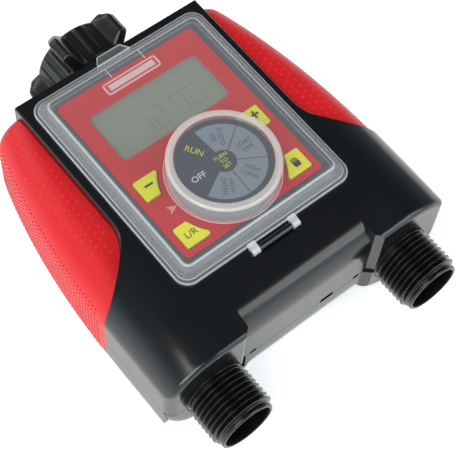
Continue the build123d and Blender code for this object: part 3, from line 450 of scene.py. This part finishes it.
def plunger_spring(side):
    """The coil spring above a plunger, under the bonnet, copied from its CAD mesh into a piece of its own
    that rides on the housing.
    """
    source = nodes[f"{side}_plunger_spring"]
    verts = [tuple(source.matrix_world @ v.co) for v in source.data.vertices]
    faces = [tuple(poly.vertices) for poly in source.data.polygons]
    obj = add_piece(f"{side}_spring_coils", verts, faces, ["spring_steel"], "housing", scale=1.0)
    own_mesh(obj)
    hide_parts(f"{side}_plunger_spring")


plunger_spring("left")
plunger_spring("right")


# ------------------------------------------------------------------ grip dots

RAY_START = 0.1  # metres from the origin, outside every grip
DOT_START_Y, DOT_END_Y = -36.0, 50


def dome(verts, faces, centre, normal, radius, height, sides=8):
    """Add a low round bump that stands on a surface, in metres."""
    normal = normal.normalized()
    across = normal.orthogonal().normalized()
    other = normal.cross(across)
    base = len(verts)
    for r, h in ((1.0, -0.25), (0.86, 0.45), (0.5, 0.86)):
        for k in range(sides):
            a = 2 * math.pi * k / sides
            spot = centre + (across * math.cos(a) + other * math.sin(a)) * radius * r + normal * height * h
            verts.append(tuple(spot))
    verts.append(tuple(centre + normal * height))
    top = len(verts) - 1
    for level in range(2):
        for k in range(sides):
            n = (k + 1) % sides
            a = base + level * sides
            b = a + sides
            faces.append((a + k, a + n, b + n, b + k))
    for k in range(sides):
        n = (k + 1) % sides
        faces.append((base + 2 * sides + k, base + 2 * sides + n, top))
    faces.append(tuple(base + k for k in reversed(range(sides))))


def grip_dots(name, side, cad_node):
    """Raised dots on a grip: fine straight rows over its side in a darker red, painted shade on them, and
    sparse small ones over its top in a paler red, a painted highlight.
    """
    bm = bmesh.new()
    bm.from_mesh(nodes[cad_node].data)
    tree = BVHTree.FromBMesh(bm)
    bm.free()

    verts, faces = [], []
    z = 9.0
    while z < 44.5:
        front_y = -34.0 + 3.0 * smoothstep((z - 30) / 12)
        y = DOT_START_Y
        while y < DOT_END_Y:
            start = Vector((side * RAY_START, y * MM, z * MM))
            hit, normal, _, _ = tree.ray_cast(start, Vector((-side, 0, 0)))
            if hit is not None and y > front_y and abs(normal.x) > 0.38:
                dome(verts, faces, hit, normal, 0.42 * MM, 0.30 * MM, 7)
            y += 2.0
        z += 2.55
    # The side dots take the darker red: painted shade
    add_piece(name + "_side", verts, faces, ["side_dot_painted_shade"], "housing", scale=1.0, sharp=80)

    verts, faces = [], []
    lowest = 0.044  # metres
    spacing = 3.4
    for row, x in enumerate((48.6, 51.6, 54.6, 57.6)):
        y = -30.0 + (row % 2) * spacing / 2
        while y < DOT_END_Y:
            start = Vector((side * x * MM, y * MM, RAY_START))
            hit, normal, _, _ = tree.ray_cast(start, Vector((0, 0, -1)))
            inner_x = 47.6 + 0.35 * max(0.0, -y - 8)
            if hit is not None and normal.z > 0.6 and hit.z > lowest and x > inner_x:
                dome(verts, faces, hit, normal, 0.34 * MM, 0.22 * MM)
            y += spacing
    # The top dots take the paler pink: painted highlight
    add_piece(name + "_top", verts, faces, ["grip_dot"], "housing", scale=1.0, sharp=80)


grip_dots("left_grip_dots", -1, "left_grip")
grip_dots("right_grip_dots", 1, "right_grip")


# ------------------------------------------------------------------ lid

# Which of the lid's four materials a band takes; the edge band's extra milk is a painted highlight, and the
# ring band's is partly real milkiness and partly painted highlight
LID_MATS = ["clear_plastic", "clear_wall", "clear_edge_highlight", "clear_ring_milk_and_highlight"]
PLATE, WALL, EDGE_HIGHLIGHT, RING_MILK_HIGHLIGHT = range(4)


def rounded_rect(half_x, half_y, radius):
    """Points round a rounded rectangle, anticlockwise from the middle of its +X side."""
    arc_steps, x_steps, y_steps = 9, 50, 60
    straight_x, straight_y = half_x - radius, half_y - radius

    def line(start, end, steps):
        return [tuple(a + (b - a) * k / steps for a, b in zip(start, end)) for k in range(steps)]

    def corner(sign_x, sign_y, quarter):
        angles = [quarter * math.pi / 2 + math.pi / 2 * k / arc_steps for k in range(arc_steps)]
        return [(sign_x * straight_x + radius * math.cos(a), sign_y * straight_y + radius * math.sin(a))
                for a in angles]

    return (
        line((half_x, 0.0), (half_x, straight_y), y_steps // 2)
        + corner(1, 1, 0)
        + line((straight_x, half_y), (-straight_x, half_y), x_steps)
        + corner(-1, 1, 1)
        + line((-half_x, straight_y), (-half_x, -straight_y), y_steps)
        + corner(-1, -1, 2)
        + line((-straight_x, -half_y), (straight_x, -half_y), x_steps)
        + corner(1, -1, 3)
        + line((half_x, -straight_y), (half_x, 0.0), y_steps // 2)
    )


def lid_shell():
    """Clear lid: flange, sloping walls with a rolled top edge, roof, and raised window over the dial."""
    # Rounded rectangles: half width, half length, corner radius, height, and the band up to the next ring
    roof_rect = (34.6, 42.6, 2.2)
    outer_wall = (
        (41.3, 49.6, 5.8, 56.3, WALL), (41.5, 49.8, 6.0, 56.5, WALL), (41.5, 49.8, 6.0, 57.35, EDGE_HIGHLIGHT),
        (41.3, 49.6, 5.8, 57.65, EDGE_HIGHLIGHT), (41.0, 49.3, 5.6, 57.7, PLATE), (40.0, 48.2, 4.9, 57.7, EDGE_HIGHLIGHT),
        (39.7, 47.9, 4.6, 57.95, WALL), (39.4, 47.6, 4.5, 58.4, WALL), (36.9, 44.9, 3.0, 61.0, EDGE_HIGHLIGHT),
        (36.55, 44.55, 2.8, 61.4, EDGE_HIGHLIGHT), (36.1, 44.1, 2.5, 61.6, PLATE), (*roof_rect, 61.6, PLATE),
    )
    inner_wall = (
        (*roof_rect, 60.3, PLATE), (35.1, 43.1, 2.0, 60.1, WALL), (37.9, 46.1, 3.6, 57.4, WALL),
        (38.8, 47.0, 4.0, 56.5, WALL), (39.1, 47.3, 4.1, 56.3, WALL),
    )
    # Circles about the dial: radius, height, band
    # The window's upper wall takes the ring material, partly a painted highlight
    outer_window = (
        (22.95, 61.6, EDGE_HIGHLIGHT), (22.7, 61.75, WALL), (22.6, 62.2, WALL), (22.3, 69.5, RING_MILK_HIGHLIGHT),
        (22.15, 70.15, RING_MILK_HIGHLIGHT), (21.7, 70.55, RING_MILK_HIGHLIGHT), (21.0, 70.65, RING_MILK_HIGHLIGHT), (19.6, 70.7, EDGE_HIGHLIGHT),
        (19.2, 70.62, PLATE), (18.9, 70.6, PLATE),
    )
    inner_window = (
        (19.3, 69.5, PLATE), (20.9, 69.4, RING_MILK_HIGHLIGHT), (21.3, 69.0, WALL), (21.55, 61.0, WALL),
        (21.9, 60.3, PLATE),
    )
    # The circles' points lie in the same directions from the dial as the roof's, so that the rings match
    angles = [math.atan2(y - DIAL[1], x - DIAL[0]) for x, y in rounded_rect(*roof_rect)]
    rings, marks = [], []

    def add_rects(rows):
        for half_x, half_y, radius, z, band in rows:
            rings.append([(x, y, z) for x, y in rounded_rect(half_x, half_y, radius)])
            marks.append(band)

    def add_circles(rows):
        for radius, z, band in rows:
            spots = [(DIAL[0] + radius * math.cos(a), DIAL[1] + radius * math.sin(a)) for a in angles]
            rings.append([(x, y, z) for x, y in spots])
            marks.append(band)

    add_rects(outer_wall)
    add_circles(outer_window)
    outer_count = len(rings)
    add_circles(inner_window)
    add_rects(inner_wall)
    count = len(angles)
    verts, faces = skin(rings, closed_loop=False)
    bands = [marks[index // count] for index in range(len(faces))]
    # Close the flange's underside
    last = (len(rings) - 1) * count
    for k in range(count):
        n = (k + 1) % count
        faces.append((last + k, last + n, n, k))
        bands.append(WALL)
    # The window's two discs close the outer and the inner skin
    start = (outer_count - 1) * count
    faces[start:start + count] = [
        tuple(start + k for k in range(count)),
        tuple(start + count + k for k in reversed(range(count))),
    ]
    bands[start:start + count] = [PLATE, PLATE]
    obj = add_piece("lid_shell", verts, faces, LID_MATS, "lid", sharp=34)
    for poly, band in zip(obj.data.polygons, bands):
        poly.material_index = band
    return obj


def lug(name, x0, x1):
    """One of the lid's clear hinge lugs, a short arm ending in a ring round the pin, from x0 to x1."""
    pin, outer_r, hole_r = (-51.9, 55.6), 1.8, 0.95
    count = 28
    turns = [math.radians(80 + 295 * k / (count - 1)) for k in range(count)]
    outline = [(pin[0] + outer_r * math.cos(a), pin[1] + outer_r * math.sin(a)) for a in turns]
    outline += [(-49.7, 56.3), (-49.0, 56.4), (-49.0, 57.9), (-50.0, 57.9)]
    bm = bmesh.new()
    edges = []
    for loop in (outline, circle_points(pin, hole_r, count)):
        ring = [bm.verts.new((x0, y, z)) for y, z in loop]
        edges += [bm.edges.new((ring[i], ring[(i + 1) % len(ring)])) for i in range(len(ring))]
    bmesh.ops.triangle_fill(bm, use_beauty=True, use_dissolve=False, edges=edges)
    extrude_faces(bm, 0, x1)
    # The lug takes the milky edge material, a painted highlight
    return bmesh_piece(name, bm, ["clear_edge_highlight"], "lid")


RIB_LOW, RIB_HIGH = (39.6, 61.5), (44.4, 61.68)  # y and z of the two ribs beside the badge
TAB = [(-8.2, 49.5), (8.2, 49.5), (5.9, 53.2), (5.3, 53.5), (-5.3, 53.5), (-5.9, 53.2)]
lid_obj = lid_shell()
lugs = [lug("lid_lug_left", -11.4, -8.1), lug("lid_lug_right", 8.1, 11.4)]
tab = prism("lid_tab", TAB, 56.35, 57.7, ["clear_plastic", "clear_edge_highlight"], "lid", 0.3)
# The tab's sides take the milky edge material, a painted highlight of its outline
for poly in tab.data.polygons:
    poly.material_index = 0 if abs(poly.normal.z) > 0.95 else 1
# The ribs take the milky edge material, a painted highlight
ribs = [
    box_piece("lid_rib_left", (-8.2, *RIB_LOW), (-7.9, *RIB_HIGH), "clear_edge_highlight", "lid", 0.05),
    box_piece("lid_rib_right", (7.9, *RIB_LOW), (8.2, *RIB_HIGH), "clear_edge_highlight", "lid", 0.05),
]
for part in (lid_obj, *lugs, tab, *ribs):
    part.visible_shadow = False
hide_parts("lid")


# ------------------------------------------------------------------ printed marks

LETTER_HEIGHT = 0.06


def text_piece(name, text, size, place, turn, mat, body, bold=0.0, squeeze=1.0):
    """Flat lettering from Blender's own font, standing on its plane and turned about Z in degrees."""
    curve = bpy.data.curves.new(name + "_curve", "FONT")
    curve.body = text
    curve.size = size
    curve.align_x = "CENTER"
    curve.align_y = "CENTER"
    curve.extrude = LETTER_HEIGHT / 2
    curve.offset = bold
    curve.resolution_u = 3
    source = bpy.data.objects.new(name + "_source", curve)
    bpy.context.scene.collection.objects.link(source)
    bpy.context.view_layer.update()
    mesh = bpy.data.meshes.new_from_object(source.evaluated_get(bpy.context.evaluated_depsgraph_get()))
    bpy.data.objects.remove(source)
    spot = Matrix.Translation(Vector(place) + Vector((0, 0, LETTER_HEIGHT / 2)))
    spin = Matrix.Rotation(math.radians(turn), 4, "Z")
    mesh.transform(Matrix.Scale(MM, 4) @ spot @ spin @ Matrix.Diagonal((squeeze, 1, 1, 1)))
    obj = bpy.data.objects.new(name, mesh)
    bpy.context.scene.collection.objects.link(obj)
    mesh.materials.clear()
    mesh.materials.append(MATS[mat])
    for poly in mesh.polygons:
        poly.material_index = 0
    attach(obj, body)


def dial_sector(name, a0, a1, z0, z1):
    """Printed sector of the dial from a0 to a1 degrees, with an even gap along both straight sides."""
    hub_r, rim_r, gap, steps = 4.9, 16.6, 0.18, 20

    def arc(r, start, end, pad):
        """pad is positive where the arc runs anticlockwise."""
        angles = [math.radians(start + pad + (end - start - 2 * pad) * k / steps) for k in range(steps + 1)]
        return [(DIAL[0] + r * math.cos(a), DIAL[1] + r * math.sin(a)) for a in angles]

    rim = arc(rim_r, a0, a1, math.degrees(gap / rim_r))
    hub = arc(hub_r, a1, a0, -math.degrees(gap / hub_r))
    prism(name, rim + hub, z0, z1, ["dial_light"], "dial")


DISC_TOP = 68.95
PRINT = 0.04  # thickness of a sector's print
WORD_R, WORD_LINE = 11.0, 2.9
for index, (a0, a1, words) in enumerate((
    (34.9, 94.7, ("SET", "CLOCK")),
    (-29.7, 34.9, ("START", "TIME")),
    (-91.9, -29.7, ("HOW", "LONG")),
    (-150.6, -91.9, ("HOW", "OFTEN")),
)):
    dial_sector(f"dial_sector_{index}", a0, a1, DISC_TOP, DISC_TOP + PRINT)
    middle = (a0 + a1) / 2
    a = math.radians(middle)
    away = (math.cos(a), math.sin(a))
    for line, word in enumerate(words):
        shift = (0.5 - line) * WORD_LINE
        x = DIAL[0] + away[0] * WORD_R - away[1] * shift
        y = DIAL[1] + away[1] * WORD_R + away[0] * shift
        text_piece(f"dial_word_{index}_{line}", word, 2.7, (x, y, DISC_TOP + PRINT), middle, "dial_line",
                   "dial", squeeze=0.9)

for label, middle, mat in (("OFF", 180.0, "dial_white"), ("RUN", 122.0, "dial_yellow")):
    a = math.radians(middle)
    spot = (DIAL[0] + 12.0 * math.cos(a), DIAL[1] + 12.0 * math.sin(a), DISC_TOP + 0.01)
    text_piece(f"dial_{label.lower()}", label, 3.7, spot, middle - 180, mat, "dial", bold=0.02)

HUB_LINE = 2.3
for line, word in enumerate(("TURN", "TO", "SET")):
    spot = (DIAL[0], DIAL[1] + HUB_LINE - HUB_LINE * line, DISC_TOP + 0.02)
    text_piece(f"dial_hub_{line}", word, HUB_LINE, spot, 0, "dial_yellow", "dial", bold=0.02)

# Keys' symbols
KEY_TOP = 59.7
KEY_X, KEY_Y = 25.6, 13.0  # the keys' places from the dial's centre
KEY_FOOT = KEY_TOP - 0.02
PLUS = (KEY_X + 1.1, DIAL[1] + KEY_Y + 0.6)
MINUS = (-KEY_X, DIAL[1] + KEY_Y)
HAND = (KEY_X, DIAL[1] - KEY_Y)


def key_bar(name, centre, half, height, body):
    """Printed bar on a key."""
    box_piece(name, (centre[0] - half[0], centre[1] - half[1], KEY_FOOT),
              (centre[0] + half[0], centre[1] + half[1], KEY_TOP + height), "key_print", body, 0.04)


key_bar("key_plus_a", PLUS, (1.9, 0.45), 0.1, "plus_key")
key_bar("key_plus_b", PLUS, (0.45, 1.9), 0.11, "plus_key")
key_bar("key_minus", MINUS, (1.9, 0.45), 0.1, "minus_key")
text_piece("key_outlet_mark", "L/R", 4.0, (-KEY_X, DIAL[1] - KEY_Y, KEY_TOP), 0, "key_print", "outlet_key")

# Open hand on the manual key: palm, and four fingers
PALM = ((-1.2, -1.9), (1.2, -1.9), (1.6, -0.9), (1.5, 0.5), (-1.4, 0.5), (-1.6, -0.6))
FINGER_HALF = 0.26
prism("key_hand_palm", [(HAND[0] + x, HAND[1] + y) for x, y in PALM], KEY_FOOT, KEY_TOP + 0.08, ["key_print"],
      "manual_key")
for finger, (x, length) in enumerate(((-1.2, 1.5), (-0.4, 1.9), (0.4, 1.8), (1.15, 1.3))):
    low = (HAND[0] + x - FINGER_HALF, HAND[1] + 0.3, KEY_FOOT)
    high = (HAND[0] + x + FINGER_HALF, HAND[1] + 0.5 + length, KEY_TOP + 0.08)
    box_piece(f"key_hand_finger_{finger}", low, high, "key_print", "manual_key", 0.04)

# Pale pointer beside the dial
PANEL_TOP = 58.6
prism("panel_pointer", [(-26.2, -18.4), (-22.0, -20.3), (-26.2, -22.2), (-25.2, -20.3)], PANEL_TOP - 0.02,
      PANEL_TOP + 0.06, ["pointer_pale"], "housing")

# Plain badge: a red field with a pale bar, inside the CAD badge's pale border
box_piece("badge_field", (-12.2, 35.3, 58.88), (12.2, 39.6, 58.93), "badge_red", "housing", 0.02)
box_piece("badge_bar", (-10.9, 36.1, 58.92), (10.9, 38.8, 58.97), "badge_silver", "housing", 0.02)

# Faint seven-segment digits on the display
SEGMENTS = {"0": "abcdef", "1": "bc", "2": "abged"}
DISPLAY_PRINT = (56.88, 56.94)  # its foot and its top
DIGIT_Y, DIGIT_SIZE = 16.5, 9.5


def digit(name, value, x):
    w, h, t = DIGIT_SIZE * 0.52, DIGIT_SIZE, DIGIT_SIZE * 0.1
    # Each segment's centre from the digit's, and its size
    boxes = {"a": (0, h / 2, w, t), "g": (0, 0, w, t), "d": (0, -h / 2, w, t), "b": (w / 2, h / 4, t, h / 2),
             "c": (w / 2, -h / 4, t, h / 2), "f": (-w / 2, h / 4, t, h / 2), "e": (-w / 2, -h / 4, t, h / 2)}
    for key in SEGMENTS[value]:
        cx, cy, sx, sy = boxes[key]
        low = (x + cx - sx / 2, DIGIT_Y + cy - sy / 2, DISPLAY_PRINT[0])
        high = (x + cx + sx / 2, DIGIT_Y + cy + sy / 2, DISPLAY_PRINT[1])
        box_piece(f"{name}_{key}", low, high, "display_mark", "housing", 0)


for place, value in zip((-9.5, -2.0, 8.0, 15.5), "1200"):
    digit(f"display_digit_{int(place * 10) + 100}", value, place)


# ------------------------------------------------------------------ floor, light and camera, in metres

HALF, FLOOR_Z = 15.0, -0.0006
mesh = bpy.data.meshes.new("floor")
corners = [(x * HALF, y * HALF, FLOOR_Z) for x, y in ((-1, -1), (1, -1), (1, 1), (-1, 1))]
mesh.from_pydata(corners, [], [(0, 1, 2, 3)])
floor = bpy.data.objects.new("floor", mesh)
bpy.context.scene.collection.objects.link(floor)
floor_mat, _, floor_bsdf, _ = new_material("floor pale")
floor_bsdf.inputs["Base Color"].default_value = (0.88, 0.88, 0.88, 1)
floor_bsdf.inputs["Roughness"].default_value = 0.9
floor_bsdf.inputs["Specular IOR Level"].default_value = 0.1
floor_bsdf.inputs["Emission Color"].default_value = (0.97, 0.99, 1.0, 1)
floor_bsdf.inputs["Emission Strength"].default_value = 0.56
mesh.materials.append(floor_mat)

# Studio: bright low walls, dark overhead, and dimmer on the side away from the front left
world = bpy.data.worlds.new("studio")
bpy.context.scene.world = world
world.use_nodes = True
world_tree = world.node_tree
background = world_tree.nodes["Background"]
background.inputs["Color"].default_value = (0.80, 0.94, 1.0, 1)
sky = world_tree.nodes.new("ShaderNodeTexCoord")
axes = world_tree.nodes.new("ShaderNodeSeparateXYZ")
facing = world_tree.nodes.new("ShaderNodeVectorMath")
facing.operation = "DOT_PRODUCT"
facing.inputs[1].default_value = (-0.6, -0.8, 0.0)
world_tree.links.new(sky.outputs["Generated"], axes.inputs[0])
world_tree.links.new(sky.outputs["Generated"], facing.inputs[0])
strength = world_tree.nodes.new("ShaderNodeMath")
strength.operation = "MULTIPLY"
by_height = map_range(world_tree, axes.outputs["Z"], (0.05, 0.80), (1.25, 0.10), smooth=True)
by_side = map_range(world_tree, facing.outputs["Value"], (-0.7, 0.3), (0.22, 1.0), smooth=True)
world_tree.links.new(by_height, strength.inputs[0])
world_tree.links.new(by_side, strength.inputs[1])
world_tree.links.new(strength.outputs[0], background.inputs["Strength"])


def area_light(name, place, size, power):
    """Rectangular light aimed at the origin."""
    data = bpy.data.lights.new(name, "AREA")
    data.shape = "RECTANGLE"
    data.size, data.size_y = size
    data.energy = power
    obj = bpy.data.objects.new(name, data)
    obj.location = place
    obj.rotation_euler = (-Vector(place)).to_track_quat("-Z", "Y").to_euler()
    bpy.context.scene.collection.objects.link(obj)


area_light("key", (-1.1, -0.5, 1.5), (1.3, 1.3), 21)
area_light("fill", (0.9, -1.1, 1.2), (1.2, 1.2), 11)
area_light("back", (-0.4, 1.5, 1.2), (1.4, 0.8), 9)

camera_data = bpy.data.cameras.new("camera")
camera_data.lens = 106.8
camera_data.sensor_width = 36.0
camera_data.clip_start = 0.01
camera = bpy.data.objects.new("camera", camera_data)
camera.location = (-0.1842, -0.2149, 0.5023)
camera.rotation_euler = [math.radians(a) for a in (28.91, -3.04, -38.85)]
bpy.context.scene.collection.objects.link(camera)
bpy.context.scene.camera = camera
bpy.context.scene.view_settings.view_transform = "Standard"

bpy.context.view_layer.update()
